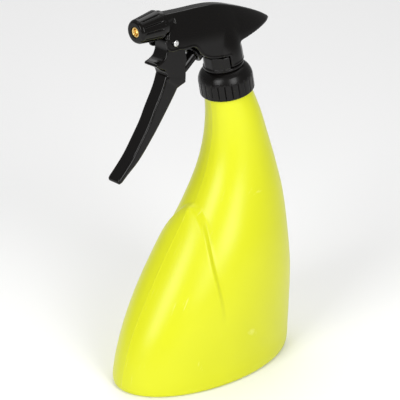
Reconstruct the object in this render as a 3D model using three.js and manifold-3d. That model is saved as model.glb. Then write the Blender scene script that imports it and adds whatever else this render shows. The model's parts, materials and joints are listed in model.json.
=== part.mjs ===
// Hand mister: a trigger sprayer screwed on a leaning, blow-moulded bottle.
// Millimetres, +Z up, origin at the centre of the bottle's base, nozzle towards -X.

import * as THREE from 'three';
import { mergeVertices } from 'three/addons/utils/BufferGeometryUtils.js';
import Module from 'manifold-3d';

const wasm = await Module();
wasm.setup();

const deg = Math.PI / 180;

// ---- Driving dimensions ----

const gap = 0.35;                 // clearance between neighbouring pieces
const neckLean = 11.7 * deg;      // the neck leans forward over the base
const neckX = 24;                 // centre of the collar's lower rim
const neckZ = 200.7;

const bottleWall = 1.6;
const neckR = 13.3;
const neckBoreR = 11;
const neckTop = 12;               // bottle mouth, above the collar's lower rim
const threadCrestR = 14.5;
const threadPitch = 4;

const collarR = 19;
const collarHeight = 18.6;
const collarBoreR = 16;
const collarCrestR = 14.9;
const collarHoleR = 11.9;
const collarRibs = 24;

const flangeZ = 14.1;             // underside of the pump body's flange
const flangeR = 14.4;
const barrelR = 11.6;
const barrelFrontR = 13.7;
const barrelBaseZ = 19.2;

const shroudWall = 1.8;
const columnX = 0.8;
const columnR = 13.9;
const skirtZ = 22;
const skirtFrontX = -3.5;
const tailEdgeZ = 35.6;

const pinX = -45.8;
const pinZ = 58.4;
const pinR = 1.5;

const nozzleX = -51;              // centre of the nozzle cap's rear face
const nozzleZ = 71.5;
const nozzleTilt = 8.1 * deg;
const capRearR = 10.3;
const capFrontR = 8.2;
const capLength = 18.8;
const capFlutes = 12;
const capBoreR = 6.4;
const sealR = 0.4;
const sealZ = 6.3;                // the seal rides in a groove inside the cap
const spoutR = 5.6;

const pumpX = -31;                // a point on the piston's axis
const pumpZ = 35.5;
const pumpTilt = 27 * deg;
const pistonR = 3.9;
const pistonHeadR = 4.25;
const cylinderBoreR = 4.6;
const cylinderR = 6.8;
const cylinderMouth = 6;
const cylinderEnd = 26.5;

const ballR = 2;
const riserR = 4.6;
const riserBoreR = 1.6;
const chamberR = 3;
const chamberZ = 49;
const chamberTop = 58.5;
const outletZ = 56;

const tubeR = 2.75;
const tubeBoreR = 1.9;
const tubeEnd = -196;
const strainerR = 5;

const leverHalfWidth = 5.8;
const hubHalfWidth = 6.6;

// ---- Materials ----

const blackGloss = { color: 0x14130f, roughness: 0.28, metalness: 0 };
const lime = { color: 0xd9e021, roughness: 0.42, metalness: 0 };
const brass = { color: 0xc9963a, roughness: 0.3, metalness: 1 };
const steel = { color: 0xb9bcc0, roughness: 0.25, metalness: 1 };
const natural = { color: 0xe9e9e2, roughness: 0.5, metalness: 0 };
const rubber = { color: 0x2b2b2b, roughness: 0.8, metalness: 0 };

// ---- Solids ----

// Welds a geometry's shared vertices, drops empty triangles and turns its faces out.
function weld(geometry) {
  const bare = geometry.clone();
  bare.deleteAttribute('normal');
  bare.deleteAttribute('uv');
  const merged = mergeVertices(bare, 1e-4);
  const position = merged.attributes.position;
  const source = merged.index.array;
  const index = [];
  const a = new THREE.Vector3();
  const b = new THREE.Vector3();
  const c = new THREE.Vector3();
  let volume = 0;
  for (let i = 0; i < source.length; i += 3) {
    const [p, q, r] = [source[i], source[i + 1], source[i + 2]];
    if (p === q || q === r || r === p) continue;
    index.push(p, q, r);
    a.fromBufferAttribute(position, p);
    b.fromBufferAttribute(position, q);
    c.fromBufferAttribute(position, r);
    volume += a.dot(b.cross(c));
  }
  if (volume < 0) index.reverse();
  merged.setIndex(index);
  return merged;
}

function solid(geometry) {
  const closed = weld(geometry);
  return new wasm.Manifold(new wasm.Mesh({
    numProp: 3,
    vertProperties: new Float32Array(closed.attributes.position.array),
    triVerts: new Uint32Array(closed.index.array),
  }));
}

function geometryOf(manifold) {
  const mesh = manifold.simplify(0.003).getMesh();
  const geometry = new THREE.BufferGeometry();
  geometry.setAttribute('position', new THREE.BufferAttribute(mesh.vertProperties, 3));
  geometry.setIndex(new THREE.BufferAttribute(mesh.triVerts, 1));
  geometry.computeVertexNormals();
  return geometry;
}

function join(...pieces) {
  return pieces.reduce((sum, piece) => sum.add(piece));
}

// A solid of revolution about Z; the profile holds [radius, z] points.
function turned(profile, segments = 40) {
  const points = profile.map(([r, z]) => new THREE.Vector2(r, z));
  const first = points[0];
  const last = points[points.length - 1];
  const onAxis = first.x === 0 && last.x === 0;
  if (!onAxis) points.push(first.clone());
  return solid(new THREE.LatheGeometry(points, segments).rotateX(Math.PI / 2));
}

function rod(radius, from, to, segments = 32) {
  return turned([[0, from], [radius, from], [radius, to], [0, to]], segments);
}

// An outline in the X-Z plane, given thickness across Y, centred on y = 0.
function plate(outline, halfWidth, bevel = 0) {
  const points = outline.getPoints(3);
  const distinct = points.filter((p, i) => p.distanceTo(points.at(i - 1)) > 0.02);
  const geometry = new THREE.ExtrudeGeometry(new THREE.Shape(distinct), {
    depth: 2 * (halfWidth - bevel),
    bevelEnabled: bevel > 0,
    bevelThickness: bevel,
    bevelSize: bevel,
    bevelOffset: -bevel,
    bevelSegments: 2,
  });
  geometry.translate(0, 0, bevel - halfWidth);
  return solid(geometry.rotateX(Math.PI / 2));
}

function polygon(points) {
  return new THREE.Shape(points.map(([x, z]) => new THREE.Vector2(x, z)));
}

// Skins a row of closed rings that all have the same number of points.
function loft(rings) {
  const count = rings[0].length;
  const points = rings.flat();
  const index = [];
  for (let i = 0; i < rings.length - 1; i++) {
    for (let j = 0; j < count; j++) {
      const k = (j + 1) % count;
      const [a, b] = [i * count + j, i * count + k];
      index.push(a, b, b + count, a, b + count, a + count);
    }
  }
  for (const [ring, start] of [[rings[0], 0], [rings.at(-1), points.length - count]]) {
    const middle = ring.reduce((sum, p) => sum.add(p), new THREE.Vector3()).divideScalar(count);
    const centre = points.push(middle) - 1;
    for (let j = 0; j < count; j++) {
      const k = (j + 1) % count;
      const fan = start === 0 ? [centre, start + k, start + j] : [centre, start + j, start + k];
      index.push(...fan);
    }
  }
  const geometry = new THREE.BufferGeometry().setFromPoints(points);
  geometry.setIndex(index);
  return solid(geometry);
}

class Helix extends THREE.Curve {
  constructor(radius, from, to, turns) {
    super();
    Object.assign(this, { radius, from, to, turns });
  }

  getPoint(t, target = new THREE.Vector3()) {
    const angle = 2 * Math.PI * this.turns * t;
    const z = this.from + (this.to - this.from) * t;
    return target.set(this.radius * Math.cos(angle), this.radius * Math.sin(angle), z);
  }
}

function swept(path, section, steps) {
  return solid(new THREE.ExtrudeGeometry(section, { steps, bevelEnabled: false, extrudePath: path }));
}

function discSection(radius, sides) {
  const points = [];
  for (let i = 0; i < sides; i++) {
    const angle = (2 * Math.PI * i) / sides;
    points.push([radius * Math.cos(angle), radius * Math.sin(angle)]);
  }
  return polygon(points);
}

function spring(coilR, wireR, from, to, turns) {
  return swept(new Helix(coilR, from, to, turns), discSection(wireR, 5), turns * 9);
}

// ---- Frames ----

const mister = new THREE.Group();
const head = new THREE.Group();
head.position.set(neckX, 0, neckZ);
head.rotation.y = -neckLean;
mister.add(head);

// Z runs out along the spray.
const nozzle = new THREE.Group();
nozzle.position.set(nozzleX, 0, nozzleZ);
nozzle.rotation.y = nozzleTilt - Math.PI / 2;
head.add(nozzle);

// Z runs along the piston's stroke, into the cylinder.
const pump = new THREE.Group();
pump.position.set(pumpX, 0, pumpZ);
pump.rotation.y = Math.PI / 2 - pumpTilt;
head.add(pump);

function place(name, manifold, finish, frame = head) {
  const mesh = new THREE.Mesh(geometryOf(manifold), new THREE.MeshStandardMaterial(finish));
  mesh.name = name;
  frame.add(mesh);
}

// Moves a solid out of a nested frame, into the frame that holds it.
function toParent(manifold, frame) {
  frame.updateMatrix();
  return manifold.transform(frame.matrix.elements);
}

// ---- Bottle ----

// Each station of the bottle: [front x, front z, back x, back z, half width].
const bodyStations = [
  [-72.2, 0, 72.4, 0, 41],
  [-74.6, 1.3, 74.9, 1.3, 43.3],
  [-75.2, 5, 76.4, 5, 43.8],
  [-72.6, 16, 77.4, 16, 42.8],
  [-65.5, 34, 78.3, 34, 42],
  [-48.5, 62, 78.1, 62, 40.4],
  [-29, 92, 74.4, 92, 36.8],
  [-10, 119, 69.8, 121, 31],
  [2, 141, 63, 145, 26],
  [8, 160, 55.8, 166, 22.4],
  [9.9, 177, 49, 185, 19.8],
  [9.2, 189, 43.6, 197, 17.8],
  [7.8, 197.3, 40.2, 204, 16.5],
];

// The raised belly on the front, which ends in a pointed arch below the neck.
const bellyStations = [
  [-70, 1.2, 30, 1.2, 35],
  [-74.2, 7, 30, 7, 38],
  [-73.5, 15, 30, 15, 38.5],
  [-68.4, 31, 30, 31, 37.5],
  [-54.8, 60, 30, 60, 35],
  [-35.2, 90, 26, 90, 30],
  [-21.6, 110, 22, 110, 22],
  [-14.2, 121.8, 16, 121.8, 11],
  [-10, 124.6, 10, 124.6, 5],
];

function bottleRings(stations, inset, rows, sides) {
  const front = new THREE.CatmullRomCurve3(stations.map((s) => new THREE.Vector3(s[0], 0, s[1])));
  const back = new THREE.CatmullRomCurve3(stations.map((s) => new THREE.Vector3(s[2], s[4], s[3])));
  const rings = [];
  for (let i = 0; i <= rows; i++) {
    const f = front.getPoint(i / rows);
    const b = back.getPoint(i / rows);
    const halfWidth = b.y - inset;
    b.y = 0;
    const centre = f.clone().add(b).multiplyScalar(0.5);
    const arm = b.clone().sub(centre);
    arm.setLength(arm.length() - inset);
    const ring = [];
    for (let j = 0; j < sides; j++) {
      const angle = (2 * Math.PI * j) / sides;
      const point = centre.clone().addScaledVector(arm, Math.cos(angle));
      point.y = halfWidth * Math.sin(angle);
      ring.push(point);
    }
    rings.push(ring);
  }
  return rings;
}

function makeBottle() {
  const outer = loft(bottleRings(bodyStations, 0, 20, 32));
  const belly = loft(bottleRings(bellyStations, 0, 10, 24));
  const neck = rod(neckR, -3, neckTop);
  const helix = new Helix(neckR - 0.2, 3.4, 9.4, 1.5);
  const ridge = polygon([[-1.1, 0], [-0.4, threadCrestR - neckR + 0.2],
    [0.4, threadCrestR - neckR + 0.2], [1.1, 0]]);
  const thread = threadSolid(helix, ridge, 36);
  const floor = plate(polygon([[-90, bottleWall], [90, bottleWall], [90, 230], [-90, 230]]), 60);
  const inner = loft(bottleRings(bodyStations, bottleWall, 14, 20)).intersect(floor);
  const bellyInner = loft(bottleRings(bellyStations.slice(0, -1), bottleWall, 8, 16)).intersect(floor);
  const bore = rod(neckBoreR, -6, neckTop + 5);
  return join(outer, belly, toParent(neck, head), toParent(thread, head))
    .subtract(inner)
    .subtract(bellyInner)
    .subtract(toParent(bore, head));
}

// A helical ridge whose section stands square to the axis: section x runs along Z, y outwards.
function threadSolid(helix, section, steps, sign = 1) {
  const outline = section.getPoints();
  const rings = [];
  for (let i = 0; i <= steps; i++) {
    const t = i / steps;
    const angle = 2 * Math.PI * helix.turns * t;
    const z = helix.from + (helix.to - helix.from) * t;
    const fade = Math.min(1, 6 * t + 0.15, 6 * (1 - t) + 0.15);
    rings.push(outline.map((p) => {
      const r = helix.radius + sign * p.y * fade;
      return new THREE.Vector3(r * Math.cos(angle), r * Math.sin(angle), z + p.x);
    }));
  }
  return loft(rings);
}

place('bottle', makeBottle(), lime, mister);

// ---- Collar and gasket ----

function makeCollar() {
  const shell = turned([
    [collarBoreR, 0], [collarR - 0.4, 0], [collarR, 0.5], [collarR, 9.8], [18.7, 12],
    [17.8, 14.6], [16.2, 16.8], [14.2, 18.2], [13, collarHeight], [collarHoleR, collarHeight],
    [collarHoleR, 15.6], [collarBoreR, 15.6],
  ], 48);
  const grooves = [];
  for (let i = 0; i < collarRibs; i++) {
    const angle = (2 * Math.PI * i) / collarRibs;
    const cutter = turned([[0, 1.6], [0.95, 1.6], [0.95, 11.6], [0, 13]], 6);
    grooves.push(cutter.translate([(collarR + 0.35) * Math.cos(angle), (collarR + 0.35) * Math.sin(angle), 0]));
  }
  const helix = new Helix(collarBoreR + 0.2, 2.2, 8.2, 1.5);
  const depth = collarBoreR + 0.2 - collarCrestR;
  const ridge = polygon([[-1, 0], [-0.3, depth], [0.3, depth], [1, 0]]);
  const thread = threadSolid(helix, ridge, 36, -1);
  return shell.subtract(join(...grooves)).add(thread);
}

place('collar', makeCollar(), blackGloss);
place('neck_gasket', turned([[11.3, 12.4], [13.9, 12.4], [13.9, 13.7], [11.3, 13.7]]), rubber);

// ---- Pump body ----

function makePumpBody() {
  const flange = rod(flangeR, flangeZ, 15.2, 40);
  const throat = rod(11.4, 15, barrelBaseZ + 0.5, 40);
  const base = rod(14.1, barrelBaseZ, 21.3, 40);
  const neckDown = turned([[0, 21], [barrelR, 21], [barrelR, 29.4], [8.6, 30.4], [8.6, 36],
    [riserR, 41], [0, 41]], 32);
  const frontHalf = plate(polygon([[-20, 21], [skirtFrontX - 0.5, 21], [skirtFrontX - 0.5, 30],
    [-20, 30]]), 20);
  const front = rod(barrelFrontR, 21, 30, 40).intersect(frontHalf);
  const riser = rod(riserR, 40, chamberTop, 24);
  const spigot = rod(2.8, 3, 11, 16).rotate([0, -90, 0]).translate([0, 0, outletZ]);
  const cylinder = toParent(rod(cylinderR, cylinderMouth, cylinderEnd + 2, 28), pump);
  const outside = join(flange, throat, base, neckDown, front, riser, spigot, cylinder);

  const plugBore = rod(7, flangeZ - 1, 20);
  const ballBore = rod(ballR + 1, 19, 27, 24);
  const rise = rod(riserBoreR, 26, 50, 12);
  const chamber = rod(chamberR, chamberZ, chamberTop + 1, 24);
  const outlet = rod(2.05, 0, 12, 12).rotate([0, -90, 0]).translate([0, 0, outletZ]);
  const stroke = toParent(rod(cylinderBoreR, cylinderMouth - 1, cylinderEnd, 32), pump);
  const port = toParent(rod(1.1, cylinderEnd - 1, cylinderEnd + 6, 10).translate([0.8, 0, 0]), pump);
  return outside.subtract(join(plugBore, ballBore, rise, chamber, outlet, stroke, port));
}

place('pump_body', makePumpBody(), blackGloss);

// ---- Valves and dip tube ----

place('inlet_seat', turned([
  [1.2, 8], [3.05, 8], [3.05, -2], [4, -2], [4, 8.4], [6.6, 9.4], [6.6, 19.6],
  [2, 19.6], [1.2, 18.6],
], 32), natural);
place('inlet_ball', solid(new THREE.SphereGeometry(ballR, 16, 10)).translate([0, 0, 22]), steel);
place('dip_tube', turned([[tubeBoreR, tubeEnd], [tubeR, tubeEnd], [tubeR, 7.6], [tubeBoreR, 7.6]], 16), natural);

function makeStrainer() {
  const cup = turned([[0, tubeEnd - 3], [strainerR, tubeEnd - 3], [strainerR, tubeEnd + 6],
    [3.9, tubeEnd + 9], [tubeR + gap, tubeEnd + 9], [tubeR + gap, tubeEnd - 1.6], [0, tubeEnd - 1.6]], 24);
  const slots = [];
  for (let i = 0; i < 6; i++) {
    const slot = solid(new THREE.BoxGeometry(4, 1.2, 5)).translate([strainerR - 0.5, 0, tubeEnd + 1.5]);
    slots.push(slot.rotate([0, 0, 60 * i]));
  }
  const drain = rod(1, tubeEnd - 4, tubeEnd - 1, 12);
  return cup.subtract(join(drain, ...slots));
}

place('tube_strainer', makeStrainer(), natural);

const seatZ = chamberZ + 0.35;
place('outlet_seat', turned([[1.2, seatZ], [chamberR - gap, seatZ], [chamberR - gap, seatZ + 1.9],
  [1.7, seatZ + 1.9], [1.2, seatZ + 1.3]], 24), natural);
const outletBallZ = seatZ + 2.85;
place('outlet_ball', solid(new THREE.SphereGeometry(ballR - 0.2, 16, 10)).translate([0, 0, outletBallZ]), steel);
place('outlet_spring', spring(1.9, 0.3, outletBallZ + 2.4, chamberTop - 1.3, 3), steel);
place('outlet_cap', turned([[0, chamberTop - 0.6], [chamberR - gap, chamberTop - 0.6],
  [chamberR - gap, chamberTop + gap], [3.9, chamberTop + gap], [3.9, chamberTop + 1.4],
  [0, chamberTop + 1.4]], 20), blackGloss);

// ---- Discharge line and nozzle ----

const tubePoints = [[-5, outletZ], [-11.5, outletZ + 0.2], [-20, 60.8], [-30, 66.8], [-36, 69.3],
  [-43.1, 70.38]];
const tubePath = new THREE.CatmullRomCurve3(tubePoints.map(([x, z]) => new THREE.Vector3(x, 0, z)));

function makeDischargeTube() {
  const ring = discSection(1.7, 10);
  ring.holes.push(new THREE.Path(discSection(1, 8).getPoints()));
  return swept(tubePath, ring, 14);
}

place('discharge_tube', makeDischargeTube(), natural);

place('nozzle_barrel', turned([
  [1.9, -9], [2.05, -12], [4, -12], [4, -3.6], [9, -3.6], [9, -0.8], [spoutR, -0.8],
  [spoutR, 11.2], [5.2, 11.6], [3, 11.6], [3, 3], [1.2, 2.4], [1.2, -7.6], [2.05, -8],
], 24), blackGloss, nozzle);
const sealRing = new THREE.TorusGeometry(capBoreR + 0.05, sealR, 6, 20);
place('nozzle_seal', solid(sealRing).translate([0, 0, sealZ]), rubber, nozzle);

function makeSwirlCore() {
  const core = turned([[0, 3.4], [2.6, 3.4], [2.6, 11.4], [1.6, 12.2], [0, 12.2]], 20);
  const grooves = [0, 90, 180, 270].map((turn) =>
    solid(new THREE.BoxGeometry(1.2, 0.8, 12)).translate([2.6, 0, 8]).rotate([0, 0, turn]));
  return core.subtract(join(...grooves));
}

place('swirl_core', makeSwirlCore(), natural, nozzle);

function makeNozzleCap() {
  const body = turned([
    [capBoreR, 0], [capRearR - 0.3, 0], [capRearR, 0.5], [capFrontR, 17], [7.2, 18.5], [6.4, capLength],
    [3.8, capLength], [3.8, 14.6], [5.4, 14.6], [5.4, 12.2], [capBoreR, 12.2],
    [capBoreR, sealZ + 0.8], [capBoreR + 0.85, sealZ + 0.8], [capBoreR + 0.85, sealZ - 0.8],
    [capBoreR, sealZ - 0.8],
  ], 36);
  const grooves = [];
  const taper = Math.atan2(capRearR - capFrontR, 17) / deg;
  for (let i = 0; i < capFlutes; i++) {
    const cutter = rod(1.5, 3, 22, 8).rotate([0, -taper, 0]).translate([capRearR + 0.9, 0, -0.2]);
    grooves.push(cutter.rotate([0, 0, (360 / capFlutes) * i]));
  }
  return body.subtract(join(...grooves));
}

place('nozzle_cap', makeNozzleCap(), blackGloss, nozzle);
place('nozzle_insert', turned([
  [0.7, 12.7], [4.9, 12.7], [4.9, 14.2], [3.5, 14.2], [3.5, capLength - 0.5], [2.3, capLength - 0.5],
  [1.1, 15.4], [0.7, 15],
], 28), brass, nozzle);

// ---- Shroud ----

// Stations along the hood: [x, top z, half width of the top, half width of the sides].
const hoodStations = [
  [-51.9, 79.4, 4.8, 9.6],
  [-41, 76.7, 4.3, 10.2],
  [-28, 73.5, 4, 10.6],
  [-15, 70.5, 4, 10.9],
  [-4, 67.3, 4, 11],
  [6, 63.1, 3.8, 11],
  [16, 57.7, 3.4, 10.4],
  [26, 51.7, 2.8, 9],
  [34, 46.4, 2.2, 7],
  [40.5, 41.6, 1.5, 4.5],
  [45.4, 37.4, 0.8, 1.4],
];

function hoodRings(inset, floorZ) {
  return hoodStations.map(([x, topZ, topHalf, sideHalf], i) => {
    const tailward = i === hoodStations.length - 1 ? 1.6 : 1;
    const top = topZ - inset * tailward;
    const side = Math.max(0.5, sideHalf - inset);
    const crown = Math.max(0.3, topHalf - inset * 0.5);
    const reach = Math.min(19, Math.max(0.6, top - tailEdgeZ - 0.4));
    const half = [[side, floorZ], [side, top - reach], [crown + (side - crown) * 0.48, top - reach * 0.42],
      [crown, top - 0.9], [crown * 0.7, top - 0.15]];
    const right = half.map(([y, z]) => new THREE.Vector3(x, y, z));
    const left = half.map(([y, z]) => new THREE.Vector3(x, -y, z)).reverse();
    return [...right, ...left];
  });
}

function makeShroud() {
  const column = (radius, top) => turned([[0, 10], [radius, 10], [radius, 43], [radius * 0.93, 47.5],
    [radius * 0.7, 51.5], [0, top]], 40).translate([columnX, 0, 0]);
  // Behind the column's middle the hood stops at the tail's lower edge.
  const aboveTail = (edgeZ) => plate(polygon([[-60, 5], [6, 5], [6, edgeZ], [60, edgeZ], [60, 90],
    [-60, 90]]), 20);
  const outer = loft(hoodRings(0, 20)).intersect(aboveTail(tailEdgeZ)).add(column(columnR, 54));
  const inner = loft(hoodRings(shroudWall, 10)).intersect(aboveTail(tailEdgeZ - 0.4))
    .add(column(columnR - shroudWall, 52));
  const earX = -47.2;
  const earZ = 59.4;
  const earR = 6.6;
  const ear = [];
  for (let i = 0; i <= 8; i++) {
    const angle = Math.PI + (i / 8) * 70 * deg;
    ear.push([earX + earR * Math.cos(angle), earZ + earR * Math.sin(angle)]);
  }
  const side = plate(polygon([
    [-54.5, 90], ...ear, [-38.6, 50.2], [-30.8, 48.6], [-28.4, 46.2], [-25.9, 40.9], [-22.8, 37.3],
    [-18.7, 34.8], [-13.5, 32.6], [-8, 31.2], [skirtFrontX, 30.5], [skirtFrontX, skirtZ], [20, skirtZ],
    [20, 30], [60, 30], [60, 90],
  ]), 20);
  const frontCut = plate(polygon([[-70, 40], [-52.55, 60], [-49.75, 80], [-48.4, 90], [-70, 90]]), 20);
  const mouth = toParent(rod(9.35, -4, 4, 32), nozzle);
  const frontRoom = plate(polygon([[-70, 40], [-49.2, 40], [-49.2, 76], [-70, 76]]), 7.5);
  const pinHole = rod(pinR + gap, -20, 20, 20).rotate([90, 0, 0]).translate([pinX, 0, pinZ]);
  return outer.intersect(side).subtract(inner).subtract(join(frontCut, mouth, frontRoom, pinHole));
}

place('shroud', makeShroud(), blackGloss);

// ---- Trigger and its pin ----

const leverFront = [[-54.8, 36.5], [-59.6, 29.2], [-69.4, 18], [-75.5, 10.6], [-84.3, 2.1],
  [-93.4, -6.1], [-102.1, -12.2], [-108, -15.9]];
const leverBack = [[-106.4, -19.6], [-100.6, -16.6], [-89.9, -11.4], [-76.3, -1.7], [-66.7, 6.1],
  [-51.8, 19.2], [-46.3, 24.6]];

function makeTrigger() {
  const lever = new THREE.Shape();
  lever.moveTo(-50, 38);
  lever.lineTo(leverFront[0][0], leverFront[0][1]);
  lever.splineThru(leverFront.slice(1).map(([x, z]) => new THREE.Vector2(x, z)));
  lever.quadraticCurveTo(-110.4, -17.5, -109.2, -19.6);
  lever.quadraticCurveTo(-108, -20.8, leverBack[0][0], leverBack[0][1]);
  lever.splineThru(leverBack.slice(1).map(([x, z]) => new THREE.Vector2(x, z)));
  lever.lineTo(-42, 30);

  const upper = new THREE.Shape();
  upper.moveTo(pinX - 4.6, pinZ);
  upper.splineThru([[-50.6, 54], [-53.8, 49.6], [-58, 48.4]].map(([x, z]) => new THREE.Vector2(x, z)));
  upper.lineTo(-61, 48);
  upper.quadraticCurveTo(-62.2, 47, -61, 45.8);
  upper.splineThru([[-58.6, 43.9], [-53.8, 40], [-53.6, 36.6]].map(([x, z]) => new THREE.Vector2(x, z)));
  upper.lineTo(-54.6, 34);
  upper.lineTo(-46.6, 24.9);
  upper.lineTo(-40, 25.6);
  upper.lineTo(-38.6, 31);
  upper.lineTo(-38.8, 40);
  upper.lineTo(-40.2, 50);
  upper.lineTo(pinX + 4.6, pinZ);
  upper.absarc(pinX, pinZ, 4.6, 0, Math.PI, false);

  const body = plate(lever, leverHalfWidth, 1.2).add(plate(upper, hubHalfWidth, 0.8));
  const pinHole = rod(pinR + gap, -20, 20, 20).rotate([90, 0, 0]).translate([pinX, 0, pinZ]);
  const pocket = toParent(solid(new THREE.BoxGeometry(11, 9.4, 20).translate(0.6, 0, 0.5)), pump);
  return body.subtract(join(pinHole, pocket));
}

place('trigger', makeTrigger(), blackGloss);

// A head on each end, just outside the shroud's cheeks.
const pinHalf = 11.4;
const pinShank = 10.5;
const pinHeadR = 2.1;
place('trigger_pin', turned([[0, -pinHalf], [pinR, -pinHalf], [pinHeadR, 0.5 - pinHalf],
  [pinHeadR, -pinShank], [pinR, -pinShank], [pinR, pinShank], [pinHeadR, pinShank],
  [pinHeadR, pinHalf - 0.5], [pinR, pinHalf], [0, pinHalf]], 20)
  .rotate([90, 0, 0]).translate([pinX, 0, pinZ]), steel);

// ---- Piston ----

const pistonRear = 16;

function makePiston() {
  const nose = [];
  for (let i = 0; i <= 5; i++) {
    const angle = -Math.PI / 2 + (i / 5) * (Math.PI / 2);
    nose.push([pistonR * Math.cos(angle), -5.1 + pistonR * Math.sin(angle)]);
  }
  nose[0][0] = 0;
  return turned([...nose, [pistonR, 9.6], [pistonHeadR, 10], [pistonHeadR, 12], [3.2, 12],
    [3.2, 14.2], [pistonHeadR, 14.2], [pistonHeadR, pistonRear], [2.8, pistonRear], [2.8, 4], [0, 4]], 24);
}

place('piston', makePiston(), blackGloss, pump);
place('piston_seal', solid(new THREE.TorusGeometry(3.9, 0.36, 6, 20)).translate([0, 0, 13.1]), rubber, pump);
place('return_spring', spring(2.05, 0.35, 4.8, cylinderEnd - 0.8, 7), steel, pump);

export default mister;
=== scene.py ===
import json
import math

import bpy
import numpy as np
import openvdb as vdb
from mathutils import Matrix, Vector

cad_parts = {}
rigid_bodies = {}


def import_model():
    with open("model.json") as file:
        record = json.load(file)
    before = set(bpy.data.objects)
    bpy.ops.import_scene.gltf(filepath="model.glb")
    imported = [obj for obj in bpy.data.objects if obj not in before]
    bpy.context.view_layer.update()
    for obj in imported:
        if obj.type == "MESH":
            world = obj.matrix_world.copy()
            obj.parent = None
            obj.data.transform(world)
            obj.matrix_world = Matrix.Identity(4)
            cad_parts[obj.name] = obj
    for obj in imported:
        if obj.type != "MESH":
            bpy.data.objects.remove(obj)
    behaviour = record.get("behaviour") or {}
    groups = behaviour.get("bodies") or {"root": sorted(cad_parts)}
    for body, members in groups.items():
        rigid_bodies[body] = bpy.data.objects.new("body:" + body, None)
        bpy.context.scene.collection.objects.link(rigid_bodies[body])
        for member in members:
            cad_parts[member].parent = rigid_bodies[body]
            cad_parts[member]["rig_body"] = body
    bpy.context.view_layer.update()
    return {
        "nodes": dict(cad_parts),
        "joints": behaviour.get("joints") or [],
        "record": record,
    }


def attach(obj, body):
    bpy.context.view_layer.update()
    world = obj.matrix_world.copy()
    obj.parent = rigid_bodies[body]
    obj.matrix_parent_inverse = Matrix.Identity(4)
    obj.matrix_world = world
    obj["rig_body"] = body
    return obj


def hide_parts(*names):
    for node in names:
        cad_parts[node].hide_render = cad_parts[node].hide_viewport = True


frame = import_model()
print("frame loaded:", len(frame["nodes"]), "nodes")

mm = 0.001
joints = {joint["name"]: joint for joint in frame["joints"]}


def axisFrame(origin, axis):
    # millimetres in, metres out: z runs along the axis and y stays the object's own
    z = Vector(axis).normalized()
    y = Vector((0, 1, 0))
    turn = Matrix((y.cross(z), y, z)).transposed().to_4x4()
    return Matrix.Translation(Vector(origin)) @ turn @ Matrix.Scale(mm, 4)


standFrame = Matrix.Scale(mm, 4)
headFrame = axisFrame(joints["collar_turn"]["pos_m"], joints["collar_turn"]["axis"])
nozzleFrame = axisFrame(joints["nozzle_turn"]["pos_m"], joints["nozzle_turn"]["axis"])
pumpFrame = axisFrame(headFrame @ Vector((-31, 0, 35.5)), joints["piston_stroke"]["axis"])


class Wire:
    # a socket that plain arithmetic works on; node() adds any other node

    def __init__(self, tree, socket=None):
        self.tree = tree
        self.socket = socket

    def node(self, kind, settings=None, values=None, output=0):
        made = self.tree.nodes.new(kind)
        for name, value in (settings or {}).items():
            if name == "stops":
                self.setStops(made.color_ramp, value)
            else:
                setattr(made, name, value)
        for name, value in (values or {}).items():
            if isinstance(value, Wire):
                self.tree.links.new(value.socket, made.inputs[name])
            else:
                made.inputs[name].default_value = value
        return Wire(self.tree, made.outputs[output])

    @staticmethod
    def setStops(ramp, stops):
        while len(ramp.elements) < len(stops):
            ramp.elements.new(0.5)
        for element, (position, shade) in zip(ramp.elements, stops):
            element.position = position
            element.color = (shade, shade, shade, 1)

    def maths(self, operation, first, second):
        return self.node("ShaderNodeMath", {"operation": operation}, {0: first, 1: second})

    def __add__(self, other):
        return self.maths("ADD", self, other)

    def __sub__(self, other):
        return self.maths("SUBTRACT", self, other)

    def __rsub__(self, other):
        return self.maths("SUBTRACT", other, self)

    def __mul__(self, other):
        return self.maths("MULTIPLY", self, other)

    def __truediv__(self, other):
        return self.maths("DIVIDE", self, other)

    __radd__ = __add__
    __rmul__ = __mul__


def objectPlace(wire, scale=(1, 1, 1), turn=(0, 0, 0)):
    place = wire.node("ShaderNodeTexCoord", output="Object")
    return wire.node("ShaderNodeMapping", None, {"Vector": place, "Scale": scale, "Rotation": turn})


def noise(wire, place, scale, detail=3.0, roughness=0.5):
    values = {"Vector": place, "Scale": scale, "Detail": detail, "Roughness": roughness}
    return wire.node("ShaderNodeTexNoise", None, values, "Fac")


def band(wire, value, low, high):
    values = {"Value": value, "From Min": low, "From Max": high}
    return wire.node("ShaderNodeMapRange", {"clamp": True}, values)


def blendColours(wire, factor, first, second):
    values = {"Factor": factor, 6: (*first, 1), 7: second if isinstance(second, Wire) else (*second, 1)}
    return wire.node("ShaderNodeMix", {"data_type": "RGBA"}, values, 2)


def bumped(wire, height, strength, distance):
    values = {"Height": height, "Strength": strength, "Distance": distance * mm}
    return wire.node("ShaderNodeBump", None, values)


def newPaint(name):
    paint = bpy.data.materials.new(name)
    paint.use_nodes = True
    tree = paint.node_tree
    shader = tree.nodes["Principled BSDF"]
    return paint, shader, Wire(tree)


def feed(shader, values):
    for name, value in values.items():
        if isinstance(value, Wire):
            shader.id_data.links.new(value.socket, shader.inputs[name])
        else:
            shader.inputs[name].default_value = value


limeLook = {
    "colour": (0.66, 0.685, 0.012),
    "deepColour": (0.62, 0.645, 0.008),
    "roughness": 0.27,
    "cloud": 22,          # soft colour change of the blown wall, per metre
    "orangePeel": 900,
    "scuffs": 260,
}


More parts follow.
